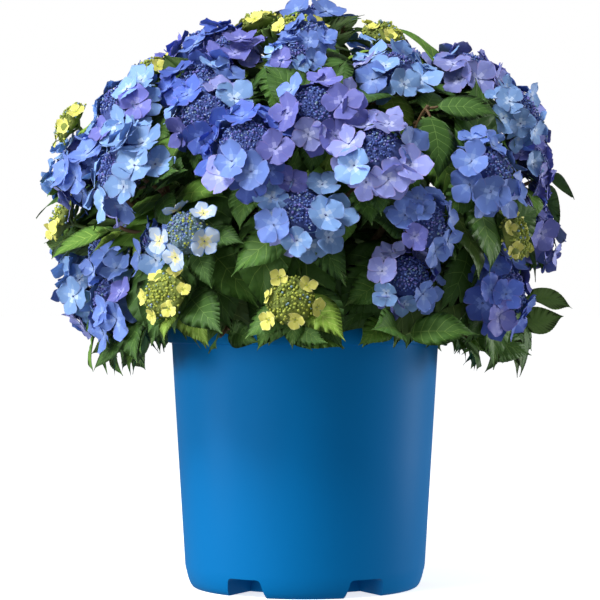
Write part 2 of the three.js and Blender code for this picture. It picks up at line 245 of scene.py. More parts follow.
# ---- Materials ---------------------------------------------------------------------------------------
def linear(code, shade=1.0):
    """A colour code as linear red, green and blue."""
    parts = [int(code[i : i + 2], 16) / 255 for i in (0, 2, 4)]
    return [min(1, shade * (c / 12.92 if c < 0.04045 else ((c + 0.055) / 1.055) ** 2.4)) for c in parts] + [1]


def new_material(name, code, roughness, shade=1.0, specular=0.4):
    material = bpy.data.materials.new(name)
    material.use_nodes = True
    shader = material.node_tree.nodes["Principled BSDF"]
    shader.inputs["Base Color"].default_value = linear(code, shade)
    shader.inputs["Roughness"].default_value = roughness
    shader.inputs["Specular IOR Level"].default_value = specular
    material.diffuse_color = linear(code, shade)
    return material


def add_pattern(material, kind, scale, detail):
    """The value of a noise or cell pattern that is fixed to the object."""
    nodes, links = material.node_tree.nodes, material.node_tree.links
    if kind == "cells":
        pattern = nodes.new("ShaderNodeTexVoronoi")
        pattern.feature = "SMOOTH_F1"
    else:
        pattern = nodes.new("ShaderNodeTexNoise")
        pattern.inputs["Detail"].default_value = detail
    pattern.inputs["Scale"].default_value = scale
    links.new(nodes.new("ShaderNodeTexCoord").outputs["Object"], pattern.inputs["Vector"])
    return pattern.outputs["Distance" if kind == "cells" else "Fac"]


def add_relief(material, kind, scale, strength, distance):
    """Fine relief from a pattern."""
    nodes, links = material.node_tree.nodes, material.node_tree.links
    bump = nodes.new("ShaderNodeBump")
    bump.inputs["Strength"].default_value = strength
    bump.inputs["Distance"].default_value = distance
    links.new(add_pattern(material, kind, scale, 3), bump.inputs["Height"])
    links.new(bump.outputs["Normal"], nodes["Principled BSDF"].inputs["Normal"])
    return material


def add_mottle(material, codes, scale):
    """Colour that wanders between two shades."""
    nodes, links = material.node_tree.nodes, material.node_tree.links
    ramp = nodes.new("ShaderNodeValToRGB")
    for stop, at, code in zip(ramp.color_ramp.elements, (0.35, 0.65), codes):
        stop.position = at
        stop.color = linear(code)
    links.new(add_pattern(material, "noise", scale, 5), ramp.inputs["Fac"])
    links.new(ramp.outputs["Color"], nodes["Principled BSDF"].inputs["Base Color"])
    return material


# ---- Joined pieces -----------------------------------------------------------------------------------
class Piece:
    """Triangles gathered into one mesh, each with the number of its material."""

    def __init__(self, name, materials, slot):
        self.name, self.materials, self.slot = name, materials, slot
        self.points, self.faces, self.zones, self.count = [], [], [], 0

    def add(self, points, faces, zones=0):
        self.points.append(points)
        self.faces.append(faces + self.count)
        self.zones.append(np.broadcast_to(zones, len(faces)))
        self.count += len(points)

    def finish(self, *nodes, smooth=True):
        points, faces = np.vstack(self.points) * MM, np.vstack(self.faces)
        mesh = bpy.data.meshes.new(self.name)
        mesh.vertices.add(len(points))
        mesh.vertices.foreach_set("co", points.astype(np.float32).ravel())
        mesh.loops.add(len(faces) * 3)
        mesh.loops.foreach_set("vertex_index", faces.astype(np.int32).ravel())
        mesh.polygons.add(len(faces))
        mesh.polygons.foreach_set("loop_start", np.arange(0, len(faces) * 3, 3, dtype=np.int32))
        mesh.polygons.foreach_set("material_index", np.concatenate(self.zones).astype(np.int32))
        mesh.polygons.foreach_set("use_smooth", np.full(len(faces), smooth))
        mesh.update(calc_edges=True)
        for material in self.materials:
            mesh.materials.append(material)
        dress(add_object(self.name, mesh), self.slot, nodes)


def add_object(name, data):
    made = bpy.data.objects.new(name, data)
    bpy.context.scene.collection.objects.link(made)
    return made


def dress(piece, slot, nodes):
    """Puts a piece on the plant's one body, in place of its solids."""
    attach(piece, "root")
    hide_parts(*nodes)


# ---- The plant's plan: masses, canes and shoots ------------------------------------------------------
def crown_point(azimuth, height, share):
    a, h = math.radians(azimuth), math.radians(height)
    out = share * RADIUS * math.cos(h)
    return np.array([out * math.sin(a), -out * math.cos(a), CENTRE + share * RISE * math.sin(h)])


def cluster_axis(azimuth, tilt, sway):
    """The way a cluster faces: outwards, swayed, and turned up a little."""
    outward = unit(crown_point(azimuth, tilt, 1) - [0, 0, CENTRE])
    return unit(outward + SCATTER["sway"] * sway + LEAN * UP)


class Mass:
    def __init__(self, name, stagger, azimuth, height):
        self.name = name
        self.side = "upper" if not name.startswith("lower") else "left" if azimuth < 0 else "right"
        self.entry = crown_point(azimuth, height, CORE_SHARE)
        self.fork = crown_point(azimuth, height, FORK_SHARE)
        climb = CANE_ROOT["climb"] * max(0, height) / 90
        lower = CANE_ROOT["lowest"] + CANE_ROOT["stagger"] * stagger + climb
        share = CANE_ROOT["top"] if height == 90 else lower
        root = np.array([0, 0, STEM_FOOT + STEM["height"] * share])
        bend = crown_point(azimuth, height, CORE_SHARE / 2)
        bend[2] = mix(root[2], self.entry[2], CANE_ROOT["bend"])
        self.cane = bezier(root, bend, self.entry)
        self.onward = unit(self.entry - bend)


class Shoot:
    def __init__(self, kind, tint, number, azimuth, height, spacing, share):
        self.kind, self.tint = kind, tint
        self.random = seeded(BASE_SEED + SEED_STEP * (number + 1))
        azimuth += spacing * SCATTER["azimuth"] * (next(self.random) - 0.5)
        tilt = height + SCATTER["height"] * (next(self.random) - 0.5)
        share += SCATTER["share"] * (next(self.random) - 0.5) + YOUNG_SHARE * (kind == "Y")
        self.middle = crown_point(azimuth, tilt, share)
        sway = np.array([next(self.random) - 0.5 for _ in range(3)])
        self.axis = cluster_axis(azimuth, tilt, sway)
        self.mass = min(MASSES, key=lambda m: np.linalg.norm(m.fork - self.middle))
        self.loose = np.random.default_rng(100 + number)  # for what only this model has

    def twig(self):
        fork = self.mass.fork
        foot = self.middle - self.axis
        inside = mix(fork, self.mass.entry, FORK_SINK / np.linalg.norm(fork - self.mass.entry))
        bend = foot - self.axis * TWIG_BEND * np.linalg.norm(fork - foot)
        return bezier(inside, bend, foot)


MASSES = [
    Mass(f"{name}_{i + 1}" if count > 1 else name, i % 2, -180 + turn + 360 * i / count, height)
    for name, count, height, turn in MASS_RINGS
    for i in range(count)
]
SHOOTS = []
for height, turn, share, tips, tints in TIERS:
    for i, (kind, tint) in enumerate(zip(tips, tints)):
        spacing = 360 / len(tips)
        SHOOTS.append(Shoot(kind, tint, len(SHOOTS), -180 + turn + spacing * i, height, spacing, share))
MIDDLES = np.array([s.middle for s in SHOOTS])


class SideShoot:
    """A finer twig from another shoot's twig, with a small cluster of its own."""

    def __init__(self, azimuth, tilt, number):
        self.kind = "S"
        self.random = seeded(BASE_SEED + SEED_STEP * (number + 1))
        self.loose = np.random.default_rng(100 + number)
        self.middle = crown_point(azimuth, tilt, SIDE["share"] - SCATTER["share"] * next(self.random))
        self.axis = cluster_axis(azimuth, tilt, self.loose.uniform(-0.6, 0.6, 3))
        self.parent = min(SHOOTS, key=lambda s: np.linalg.norm(s.middle - self.middle))
        self.mass = self.parent.mass
        self.tint = "b" if self.parent.tint in "cy" else self.parent.tint

    def twig(self):
        root, along = place_on(self.parent.twig(), 0.5)
        foot = self.middle - self.axis
        return bezier(root, mix(root, foot, 0.5) + along * 8, foot)


def side_shoots():
    """Side shoots where an even spread over the crown leaves room among the clusters."""
    radii = np.array([BLOOMS[s.kind]["radius"] if s.kind != "L" else 0 for s in SHOOTS])
    middles, found = MIDDLES, []
    for i in range(SIDE["places"]):
        tilt = math.degrees(math.asin(mix(1, SIDE["lowest"], (i + 0.5) / SIDE["places"])))
        azimuth = i * SIDE["turn"] % 360 - 180
        shoot = SideShoot(azimuth, tilt, len(SHOOTS) + len(found))
        away = np.linalg.norm(middles - shoot.middle, axis=1)
        if np.all(away > radii + SIDE["room"]):
            found.append(shoot)
            middles = np.vstack([middles, shoot.middle])
            radii = np.append(radii, BLOOMS["S"]["radius"])
    return found


SIDE_SHOOTS = side_shoots()


def in_space(points, mass):
    """True if every point is nearer to the mass's own shoots than to others, and within the crown."""
    away = np.linalg.norm(points[:, None] - MIDDLES[None], axis=2)
    own = np.array([s.mass is mass for s in SHOOTS])
    if np.any(away[:, own].min(axis=1) > away[:, ~own].min(axis=1) + KNIT):
        return False
    out = np.hypot(points[:, 0], points[:, 1])
    up = points[:, 2] - CENTRE
    core = np.hypot(out / RADIUS, up / RISE) < CORE_SHARE + 0.02
    return not np.any(core) and in_reach(points)


def in_reach(points):
    out = np.hypot(points[:, 0], points[:, 1])
    up = points[:, 2] - CENTRE
    in_pot = (points[:, 2] < POT["height"] + 4) & (out < POT["rim"] + 3)
    lowest = np.interp(np.abs(points[:, 0]), [BRIM["near"], BRIM["far"]], [BRIM["height"], SKIRT])
    reach = REACH - HEM["draw_in"] * np.maximum(0, HEM["height"] - points[:, 2])
    past = np.hypot(out / reach, np.maximum(up, 0) / (TOP - CENTRE)) >= 1
    return not np.any(in_pot | past | (points[:, 2] < lowest))


# ---- Leaves ------------------------------------------------------------------------------------------
class Blade:
    """A leaf blade as rows that follow its side veins, in shares of its length.

    A row has six points across the face and one under the rib, for the underside.
    """

    RIB, MIDWAY, VEIN, GAP = 0.018, 0.6, 0.0065, 0.02
    ROW, UNDER = 7, 6  # points in a row, and the number of the one below

    def __init__(self, veins):
        spacing = 0.8 / veins
        rib, end, swell, veined = [0.0], [0.0], [0], []
        for k in range(veins):
            vein = 0.06 + spacing * k
            between = vein + spacing / 2
            veined.append(len(rib))
            rib += [vein - self.VEIN, vein + self.VEIN, between - self.GAP, between + self.GAP]
            end += [vein, vein + 0.003, between, between + 0.003]
            swell += [-1, -1, 1, 1]
        rib.append(0.95)
        end.append(0.95)
        swell.append(0)
        across = [-1, -self.MIDWAY, -self.RIB, self.RIB, self.MIDWAY, 1, 0]
        t, v = np.meshgrid(rib, across, indexing="ij")
        tooth = np.arange(len(rib)) % 2 == 1
        tooth[-1] = False
        margin = np.abs(v) == 1
        bite = 0.0018 * veins  # depth of the teeth; blades with fewer rows have shallower ones
        reach = np.where(tooth, 1 + bite / 2, 1 - bite)
        self.t = np.append(t, 1.0)
        self.end = np.append(np.repeat(end, self.ROW), 1.0)
        self.v = np.append(np.where(margin, v * reach[:, None], v), 0.0)
        self.forward = np.append(np.where(margin & tooth[:, None], bite / 2, 0), 0)
        swelling = np.array(swell)[:, None] * (np.abs(v) == self.MIDWAY) * 0.007
        groove = np.where(np.abs(v) == self.RIB, -0.007, 0)
        groove[:, self.UNDER] = -0.02
        self.z = np.append(swelling + groove, 0)
        self.faces, self.zones = self.skin(len(rib), veined)

    def skin(self, rows, veined):
        """Zones: 0 by the rib, 1 by the margin, 2 veins, 3 underside."""
        faces, zones = [], []
        strips = [(0, 1, 1), (1, 2, 0), (2, 3, 2), (3, 4, 0), (4, 5, 1), (6, 0, 3), (5, 6, 3)]
        tip = rows * self.ROW
        for a, b, zone in strips:
            for i in range(rows - 1):
                here, onward = i * self.ROW, (i + 1) * self.ROW
                faces += [(here + a, onward + a, onward + b), (here + a, onward + b, here + b)]
                zones += [2 if i in veined else zone] * 2
            faces.append((tip - self.ROW + a, tip, tip - self.ROW + b))
            zones.append(zone)
        faces += [(0, 1, 6), (1, 2, 6), (2, 3, 6), (3, 4, 6), (4, 5, 6)]
        zones += [3] * 5
        return np.array(faces), np.array(zones)

    def points(self, length, form):
        """The blade from its base at the origin along +X, face up, folded, waved, twisted and bent."""
        end = self.end + 0.85 * self.end * (1 - self.end)
        width = np.sin(math.pi * np.clip(end, 0, 1) ** 0.8) ** (0.72 + 0.95 * end)
        width = np.maximum(width, 0.02) * form["width"] / 2 * (self.t < 1)
        x = mix(self.t, end, np.abs(self.v) ** 1.4) + self.forward
        y = width * self.v
        z = self.z * np.minimum(1, width * 5) + form["fold"] * np.abs(y) - form["curl"] * y * y
        z = z + form["wave"] * np.sin(11 * x + form["phase"] * np.sign(y)) * self.v**2
        turn = form["twist"] * x
        y, z = y * np.cos(turn) - z * np.sin(turn), y * np.sin(turn) + z * np.cos(turn)
        b = form["bend"]
        x, z = np.sin(b * x) / b + z * np.sin(b * x), (np.cos(b * x) - 1) / b + z * np.cos(b * x)
        return np.stack([x, y, z], axis=1) * length


FINE_BLADE, PLAIN_BLADE, INNER_BLADE, TEST_BLADE = Blade(7), Blade(5), Blade(3), Blade(1)

# Leaf tones: by the rib, by the margin, veins, underside.
LEAF_TONES = {
    "deep": ("416529", "395b23", "6a8d45", "658249"),
    "mid": ("507731", "476e2b", "7fa24c", "749450"),
    "fresh": ("608834", "567e2d", "96b653", "86a45a"),
    "bright": ("8aae42", "7c9d39", "bccf6c", "9cb462"),
    "olive": ("4f6a30", "46602a", "7c9250", "748a50"),
}
INNER_CHANCES = dict(deep=0.7, mid=0.1, fresh=0, bright=0, olive=0.2)  # of the leaves inside the crown
RUSSET_STALKED = [list(LEAF_TONES).index(tone) for tone in ("deep", "olive")]
CELLS = ("cells", 420, 0.5, 0.0006)
LEAF_ZONES = {  # roughness and relief
    "rib": (0.6, CELLS),
    "margin": (0.6, CELLS),
    "vein": (0.6, ("noise", 500, 0.2, 0.0003)),
    "under": (0.8, ("noise", 300, 0.4, 0.0005)),
}
LEAF_MATERIALS = [
    add_relief(new_material(f"leaf_{tone}_{zone}", code, roughness, 1.0, 0.3), *relief)
    for tone, codes in LEAF_TONES.items()
    for code, (zone, (roughness, relief)) in zip(codes, LEAF_ZONES.items())
]


class Leaf:
    """A leaf on a twig: it points along, its face turns to face, and chances are those of the tones."""

    def __init__(self, root, twig, along, face, length, loose, chances, blade):
        self.root, self.twig, self.along, self.face = root, twig, along, face
        self.length, self.blade = length, blade
        shares = np.array([chances[tone] for tone in LEAF_TONES])
        self.tone = loose.choice(len(LEAF_TONES), p=shares / sum(chances.values()))
        hang = np.clip((root[2] - SKIRT) / (TOP - SKIRT), 0, 1)
        self.form = dict(
            width=loose.uniform(0.54, 0.68),
            fold=loose.uniform(0.12, 0.42),
            curl=loose.uniform(0.3, 1.3),
            wave=loose.uniform(0.004, 0.016),
            phase=loose.uniform(0, 6.3),
            twist=loose.uniform(-0.5, 0.5),
            bend=loose.uniform(0.35, 0.75) + 0.45 * hang,
        )

    def fitted(self, size, turn, lift):
        """The leaf's own axes and length at one try."""
        tipward = spun(self.along, self.twig, turn)
        side = unit(np.cross(self.face, tipward))
        tipward = spun(tipward, side, -lift)
        return np.stack([tipward, side, np.cross(tipward, side)], axis=1), self.length * size

    def shape(self, axes, length, blade):
        base = self.root + axes[:, 0] * length * PETIOLE
        return blade.points(length * (1 - PETIOLE), self.form) @ axes.T + base

    def fit(self, allowed, others):
        """The first try that keeps to its space, and neither hides a cluster nor cuts another leaf."""
        for size, turn, lift in LEAF_TRIES:
            axes, length = self.fitted(size, turn, lift)
            points = self.shape(axes, length, TEST_BLADE)
            if not allowed(points) or hides_bloom(points):
                continue
            tree = BVHTree.FromPolygons(points.tolist(), TEST_BLADE.faces.tolist())
            middle, radius = points.mean(axis=0), length * LEAF_ROOM
            if others.overlap(tree, middle, radius):
                continue
            self.axes, self.size = axes, length
            others.add(tree, middle, radius)
            return True
        return False


class Placed:
    """The leaves that are in place, each as a tree of faces with the ball that holds it."""

    def __init__(self):
        self.trees, self.balls = [], np.zeros((0, 4))

    def add(self, tree, middle, radius):
        self.trees.append(tree)
        self.balls = np.vstack([self.balls, [*middle, radius]])

    def overlap(self, tree, middle, radius):
        away = np.linalg.norm(self.balls[:, :3] - middle, axis=1)
        return any(tree.overlap(self.trees[i]) for i in np.nonzero(away < self.balls[:, 3] + radius)[0])


def hides_bloom(points):
    """True if any of the points is within a flower cluster or just in front of one."""
    offsets = points[:, None] - BLOOM_MIDDLES[None]
    height = np.einsum("ijk,jk->ij", offsets, BLOOM_AXES)
    out = np.linalg.norm(offsets - height[..., None] * BLOOM_AXES[None], axis=2)
    low = -0.3 * BLOOM_RADII * (1 - out / BLOOM_RADII)
    return np.any((out < 0.9 * BLOOM_RADII) & (height > low) & (height < 60))


def leaves_of(shoot, path):
    start = 360 * next(shoot.random)
    pairs = PAIRS + [TIP_PAIR] * (shoot.kind == "L") + FINER_PAIRS
    for k, (share, size, rise) in enumerate(pairs):
        root, along = place_on(path, share)
        depth = (TOP - root[2]) / (TOP - SKIRT)
        droop = mix(DROOP[0], DROOP[1], depth)
        outward = unit(root * [1, 1, 0])
        young = (0.4 if shoot.kind == "Y" else 0.16) * (share > 0.7) * (root[2] > CENTRE - 60)
        low = root[2] < CENTRE - 40
        for opposite in (0, 180):
            angle = start + 90 * k + opposite + 30 * (next(shoot.random) - 0.5)
            length = LEAF_LENGTH * size * (0.85 + 0.3 * next(shoot.random))
            out = spun(standing(along) @ [1, 0, 0], along, angle)
            out = out * math.cos(math.radians(rise)) + along * math.sin(math.radians(rise))
            out = unit(out + outward * SPREAD * depth - UP * droop)
            chances = dict(deep=0.45, mid=0.35, fresh=0.12, bright=young, olive=0.12 if low else 0.03)
            blade = INNER_BLADE if share < 0.3 else PLAIN_BLADE if share < 0.6 else FINE_BLADE
            yield Leaf(root, along, out, shoot.axis + 0.4 * UP, length, shoot.loose, chances, blade)


def inner_leaves(mass, number):
    """Dull leaves on the canes and the mass's stem, inside the crown."""
    loose = np.random.default_rng(900 + number)
    for share in (0.5, 0.72, 0.94):
        root, along = place_on(mass.cane, share)
        start = loose.uniform(0, 360)
        for opposite in (0, 180):
            out = spun(standing(along) @ [1, 0, 0], along, start + opposite)
            out = unit(out + along * 0.5 - UP * 0.15)
            length = LEAF_LENGTH * loose.uniform(0.65, 0.95)
            face = unit(along + 0.5 * UP)
            yield Leaf(root, along, out, face, length, loose, INNER_CHANCES, INNER_BLADE)


# ---- Flower clusters ---------------------------------------------------------------------------------
# Tints of the florets: eye, inner, main, rim.
PETAL_TINTS = {
    "s": ("bdd3f2", "9abdee", "86ade5", "8ea9e0"),
    "b": ("93ace6", "7e9ce0", "6f8cd8", "7e92d8"),
    "v": ("a0a3e0", "8689d6", "777ccf", "8682d0"),
    "l": ("bac0ee", "a0a8e6", "939be0", "a29ddb"),
    "d": ("7690dc", "617cd2", "546ec9", "6873ca"),
    "c": ("ece79c", "f0ecd0", "c3d5ee", "84a8e0"),
    "y": ("c2c44a", "e8e67c", "e6e272", "f0ee9e"),
}
TINT_NAMES = list(PETAL_TINTS)
OWN_TINT, OTHER_TINTS = 0.8, "sbvl"  # share of florets in their cluster's tint, and what the others take
# How florets stand: tilt from upright in radians, and reach and height as shares of the cluster's radius.
BELOW = dict(tilt=(0.9, 1.35), reach=0.62, height=-0.1)
STANCES = {"ring": dict(tilt=(0.3, 0.95), reach=0.66, height=0.15), "below": BELOW, "over": BELOW}
PETAL_RELIEF = ("noise", 260, 0.25, 0.0006)
SHADES = [  # of the eye, the inner part, the body and the rim, in a light floret and in a darker one
    dict(eye=1.0, inner=1.0, main=1.0, rim=1.0),
    dict(eye=1.0, inner=0.8, main=0.8, rim=0.8),
]
PETAL_MATERIALS = [
    add_relief(new_material(f"petal_{tint}_{zone}_{number}", code, 0.55, shade, 0.25), *PETAL_RELIEF)
    for tint, codes in PETAL_TINTS.items()
    for number, shades in enumerate(SHADES)
    for code, (zone, shade) in zip(codes, shades.items())
]
PETAL_MATERIALS.append(new_material("petal_centre", "6f7db4", 0.6))
BUD_TONES = {
    "indigo": "4a5ca2",
    "blue": "6680c0",
    "violet": "7674be",
    "pale": "a4b4de",
    "teal": "7f9ca8",
    "lime": "b4bd52",
    "moss": "8b9a46",
}
BUD_NAMES = list(BUD_TONES)
BUD_MATERIALS = [new_material(f"bud_{name}", code, 0.65, 1.0, 0.25) for name, code in BUD_TONES.items()]
# The bud tones darkened to three quarters: painted shade under the buds, on the cushion that stands for their
# stalks.
SHADED_CUSHION_MATERIALS = [
    add_relief(new_material(f"cushion_{name}", code, 0.8, 0.75), "noise", 500, 0.8, 0.001)
    for name, code in BUD_TONES.items()
]
# Chances of each bud tone, first in the darkest clusters and then in the lightest.
BUD_CHANCES = {
    "F": ((0.52, 0.2, 0.18, 0.07, 0.03, 0, 0), (0.16, 0.38, 0.16, 0.22, 0.08, 0, 0)),
    "G": ((0.56, 0.2, 0.16, 0.07, 0.01, 0, 0), (0.3, 0.32, 0.16, 0.18, 0.04, 0, 0)),
    "H": ((0.12, 0.25, 0.03, 0.22, 0.3, 0.04, 0.04), (0.05, 0.2, 0.02, 0.25, 0.28, 0.12, 0.08)),
    "Y": ((0, 0, 0, 0.02, 0.08, 0.4, 0.5), (0, 0, 0, 0.05, 0.12, 0.55, 0.28)),
    "S": ((0.42, 0.26, 0.18, 0.1, 0.04, 0, 0), (0.16, 0.38, 0.16, 0.22, 0.08, 0, 0)),
}


SEPAL_ROWS = [0.05, 0.14, 0.34, 0.6, 0.8, 0.94, 1.0]
SEPAL_WIDTHS = [0.07, 0.16, 0.34, 0.5, 0.53, 0.42, 0.28]


def petal_grid():
    """Places across a sepal and their faces: zone 0 its foot, 1 a light streak, 2 its body, 3 its rim."""
    columns = np.array([-1, -0.88, -0.45, 0, 0.45, 0.88, 1])
    u, v = np.meshgrid(SEPAL_ROWS, columns, indexing="ij")
    streak = np.sign(v) * np.interp(u, [0.05, 0.34, 0.6, 1], [0.6, 0.3, 0.06, 0.45])
    v = np.where(np.abs(v) == 0.45, streak, v)
    faces = grid_faces(len(SEPAL_ROWS), len(columns), False)
    strip = np.arange(len(faces)) // 2
    row, column = strip // 6, strip % 6
    zones = np.array([0, 1, 2, 2, 2, 3])[row]
    along_middle = (column == 2) | (column == 3)
    zones = np.where((row == 1) & along_middle, 0, zones)
    zones = np.where((row == 2) & along_middle, 1, zones)
    zones = np.where((column % 5 == 0) & (row > 1), 3, zones)
    return u, v, faces, zones


def floret(loose):
    """A flat flower of four broad sepals with unit radius, face up: points, faces and zones."""
    u, v, faces, zones = PETAL_GRID
    widths = np.interp(u, SEPAL_ROWS, SEPAL_WIDTHS)
    all_points, all_faces, all_zones = [], [], []
    for k in range(4):
        size = loose.uniform(0.86, 1.06)
        x = size * (u - 0.16 * u * v * v)
        y = size * widths * v * loose.uniform(0.95, 1.12)
        pitch = loose.uniform(0.0, 0.3)
        z = x * pitch + loose.uniform(0.05, 0.35) * x * x - loose.uniform(0, 0.35) * y * y
        z = z + 0.045 * np.sin(5 * v + loose.uniform(0, 6)) * u * u + (0.02 if k % 2 else -0.02)
        turn = math.radians(90 * k + loose.uniform(-10, 10))
        cos, sin = math.cos(turn), math.sin(turn)
        points = np.stack([x * cos - y * sin, x * sin + y * cos, z], axis=2)
        all_faces.append(faces[:, ::-1] + u.size * k)
        all_points.append(points.reshape(-1, 3))
        all_zones.append(zones)
    all_faces.append(OCTAHEDRON[1] + 4 * u.size)
    all_points.append(OCTAHEDRON[0] * 0.055 + [0, 0, 0.03])
    all_zones.append(np.full(8, 4))
    return np.vstack(all_points), np.vstack(all_faces), np.concatenate(all_zones)


OCTAHEDRON = (
    np.array([[1, 0, 0], [0, 1, 0], [-1, 0, 0], [0, -1, 0], [0, 0, 1], [0, 0, -1]], float),
    np.array([[0, 1, 4], [1, 2, 4], [2, 3, 4], [3, 0, 4], [1, 0, 5], [2, 1, 5], [3, 2, 5], [0, 3, 5]]),
)


def icosahedron():
    g = (1 + math.sqrt(5)) / 2
    points = [(0, a, b) for a in (1, -1) for b in (g, -g)]
    points += [(a, b, 0) for a in (1, -1) for b in (g, -g)] + [(b, 0, a) for a in (1, -1) for b in (g, -g)]
    points = np.array(points, float) / math.hypot(1, g)
    faces = []
    for i in range(12):
        for j in range(i + 1, 12):
            for k in range(j + 1, 12):
                sides = [np.linalg.norm(points[a] - points[b]) for a, b in ((i, j), (j, k), (k, i))]
                if max(sides) < 1.2:
                    out = np.cross(points[j] - points[i], points[k] - points[i]) @ points[i]
                    faces.append((i, j, k) if out > 0 else (i, k, j))
    return points, np.array(faces)


def bud():
    """A round bud of sixteen faces with unit radius, upright."""
    turns = np.arange(4) * math.pi / 2
    low = np.column_stack([0.95 * around(turns), np.full(4, -0.15)])
    high = np.column_stack([0.7 * around(turns + 0.79), np.full(4, 0.7)])
    faces = []
    for j in range(4):
        k = (j + 1) % 4
        faces += [(8, k, j), (j, k, 4 + j), (4 + j, k, 4 + k), (9, 4 + j, 4 + k)]
    return np.vstack([low, high, [[0, 0, -0.9], [0, 0, 1.05]]]), np.array(faces)


BUD = bud()
PETAL_GRID = petal_grid()
ICOSAHEDRON = icosahedron()
FLORETS = [floret(np.random.default_rng(50 + k)) for k in range(14)]


def spiral(count, first, radius):
    """Places that fill a disc evenly."""
    n = np.arange(count) + first
    reach = np.sqrt(n / count) * radius
    return reach[:, None] * around(n * GOLDEN_ANGLE)


class Bloom:
    """A cluster: a dome of buds ringed by florets. Its own axes are the columns of its rotation."""

    def __init__(self, shoot):
        self.shoot, self.kind = shoot, shoot.kind
        self.plan = BLOOMS[shoot.kind]
        self.turn = 2 * math.pi * next(shoot.random)
        self.rotation = standing(shoot.axis)
        self.radius = self.plan["radius"]

    def crowd(self, blooms):
        """Makes the cluster as small as its neighbours need."""
        for other in blooms:
            if other is not self:
                away = np.linalg.norm(self.shoot.middle - other.shoot.middle)
                share = self.plan["radius"] / (self.plan["radius"] + other.plan["radius"])
                least = LEAST_BLOOM * self.plan["radius"]
                self.radius = min(self.radius, max(CROWDING * share * away, least))

    def placed(self, points):
        return points @ self.rotation.T + self.shoot.middle

    def dome(self, places, knob):
        """Height of the bud dome over a place, raised into knobs where its branches end."""
        out = np.linalg.norm(places, axis=1) / self.dome_radius
        form = self.form
        height = self.radius * (form["rise"] * np.sqrt(np.maximum(0, 1 - out**2)) - form["sink"])
        away = np.linalg.norm(places[:, None] - self.knobs[None], axis=2).min(axis=1)
        return height + knob * (1 - away / self.dome_radius * 3)

    def draw(self, pieces):
        loose = self.shoot.loose
        self.form = YOUNG_DOME if self.kind == "Y" else DOME
        self.dome_radius = self.radius * self.form["share"]
        self.knobs = spiral(self.form["knobs"], 0.4, self.dome_radius * 0.92)
        self.draw_florets(pieces, loose)
        self.draw_buds(pieces, loose)
        self.draw_shaded_cushion(pieces)
        self.draw_rays(pieces)

    def draw_buds(self, pieces, loose):
        count = int(self.plan["buds"] * (self.radius / self.plan["radius"]) ** 2)
        places = spiral(count, 0.5, self.dome_radius)
        places += loose.normal(0, 0.7, places.shape)
        heights = self.dome(places, self.form["knob"]) + loose.uniform(-0.6, 1.8, count)
        middles = np.column_stack([places, heights])
        middles = middles[self.clear_of_florets(middles)]
        count = len(middles)
        dark, light = np.array(BUD_CHANCES[self.kind])
        tones = loose.choice(len(BUD_TONES), count, p=mix(dark, light, loose.uniform()))
        radii = loose.uniform(0.85, 1.45, count) * (1.15 if self.kind == "Y" else 1)
        radii[tones == BUD_NAMES.index("pale")] *= 0.7
        middles = self.placed(middles)
        shape = BUD[0] @ self.rotation.T
        points = (shape[None] * radii[:, None, None] + middles[:, None]).reshape(-1, 3)
        faces = (BUD[1][None] + len(shape) * np.arange(count)[:, None, None]).reshape(-1, 3)
        pieces["buds"].add(points, faces, np.repeat(tones, len(BUD[1])))

    def clear_of_florets(self, middles):
        """Which buds neither stick through a floret nor lie on one."""
        clear = np.ones(len(middles), bool)
        for place, face, size in self.floret_plates:
            offsets = middles - place
            above = offsets @ face
            beside = np.linalg.norm(offsets - np.outer(above, face), axis=1)
            clear &= (beside > 0.95 * size) | (above < -2)
        return clear

    def draw_shaded_cushion(self, pieces):
        """The crowded bud stalks, as one knobbly body under the buds; its bud tone is darkened as painted
        shade.
        """
        rings, sides = 7, 22
        turns = np.linspace(0, 2 * math.pi, sides, endpoint=False)
        points = []
        for i in range(rings):
            reach = self.dome_radius * 0.97 * (1 - i / (rings - 0.2))
            ring = reach * around(turns)
            points.append(np.column_stack([ring, self.dome(ring, self.form["knob"]) - 0.9]))
        low = points[0] * [0.5, 0.5, 0] + [0, 0, -self.radius * 0.13]
        points = np.vstack([low] + points)
        faces = grid_faces(rings + 1, sides, True)
        last = rings * sides
        lids = [(last, last + j, last + j + 1) for j in range(1, sides - 1)]
        lids += [(0, j + 1, j) for j in range(1, sides - 1)]
        tone = BUD_NAMES.index(self.plan["shaded_cushion"])
        pieces["cushions"].add(self.placed(points), np.vstack([faces, lids]), tone)

    def draw_florets(self, pieces, loose):
        ring, rings = self.plan["florets"], self.plan["rings"]
        self.floret_plates = []
        for j in range(ring * rings + self.plan["over"]):
            stance = "over" if j >= ring * rings else "below" if j >= ring else "ring"
            if stance == "below" and loose.uniform() < 0.3:
                continue
            place, face, size = self.floret_stance(j, stance, loose)
            points, faces, zones = FLORETS[loose.integers(len(FLORETS))]
            spin = math.radians(loose.uniform(0, 360))
            cos, sin = math.cos(spin), math.sin(spin)
            own = standing(face) @ np.array([[cos, -sin, 0], [sin, cos, 0], [0, 0, 1]])
            tint = self.shoot.tint
            if loose.uniform() >= OWN_TINT and self.kind not in "HY":
                tint = loose.choice(list(OTHER_TINTS))
            first = 4 * (2 * TINT_NAMES.index(tint) + int(loose.uniform() < 0.4))
            slots = np.where(zones < 4, first + zones, len(PETAL_MATERIALS) - 1)
            pieces["florets"].add(self.placed(points @ own.T * size + place), faces, slots)
            self.floret_plates.append((place, face, size))

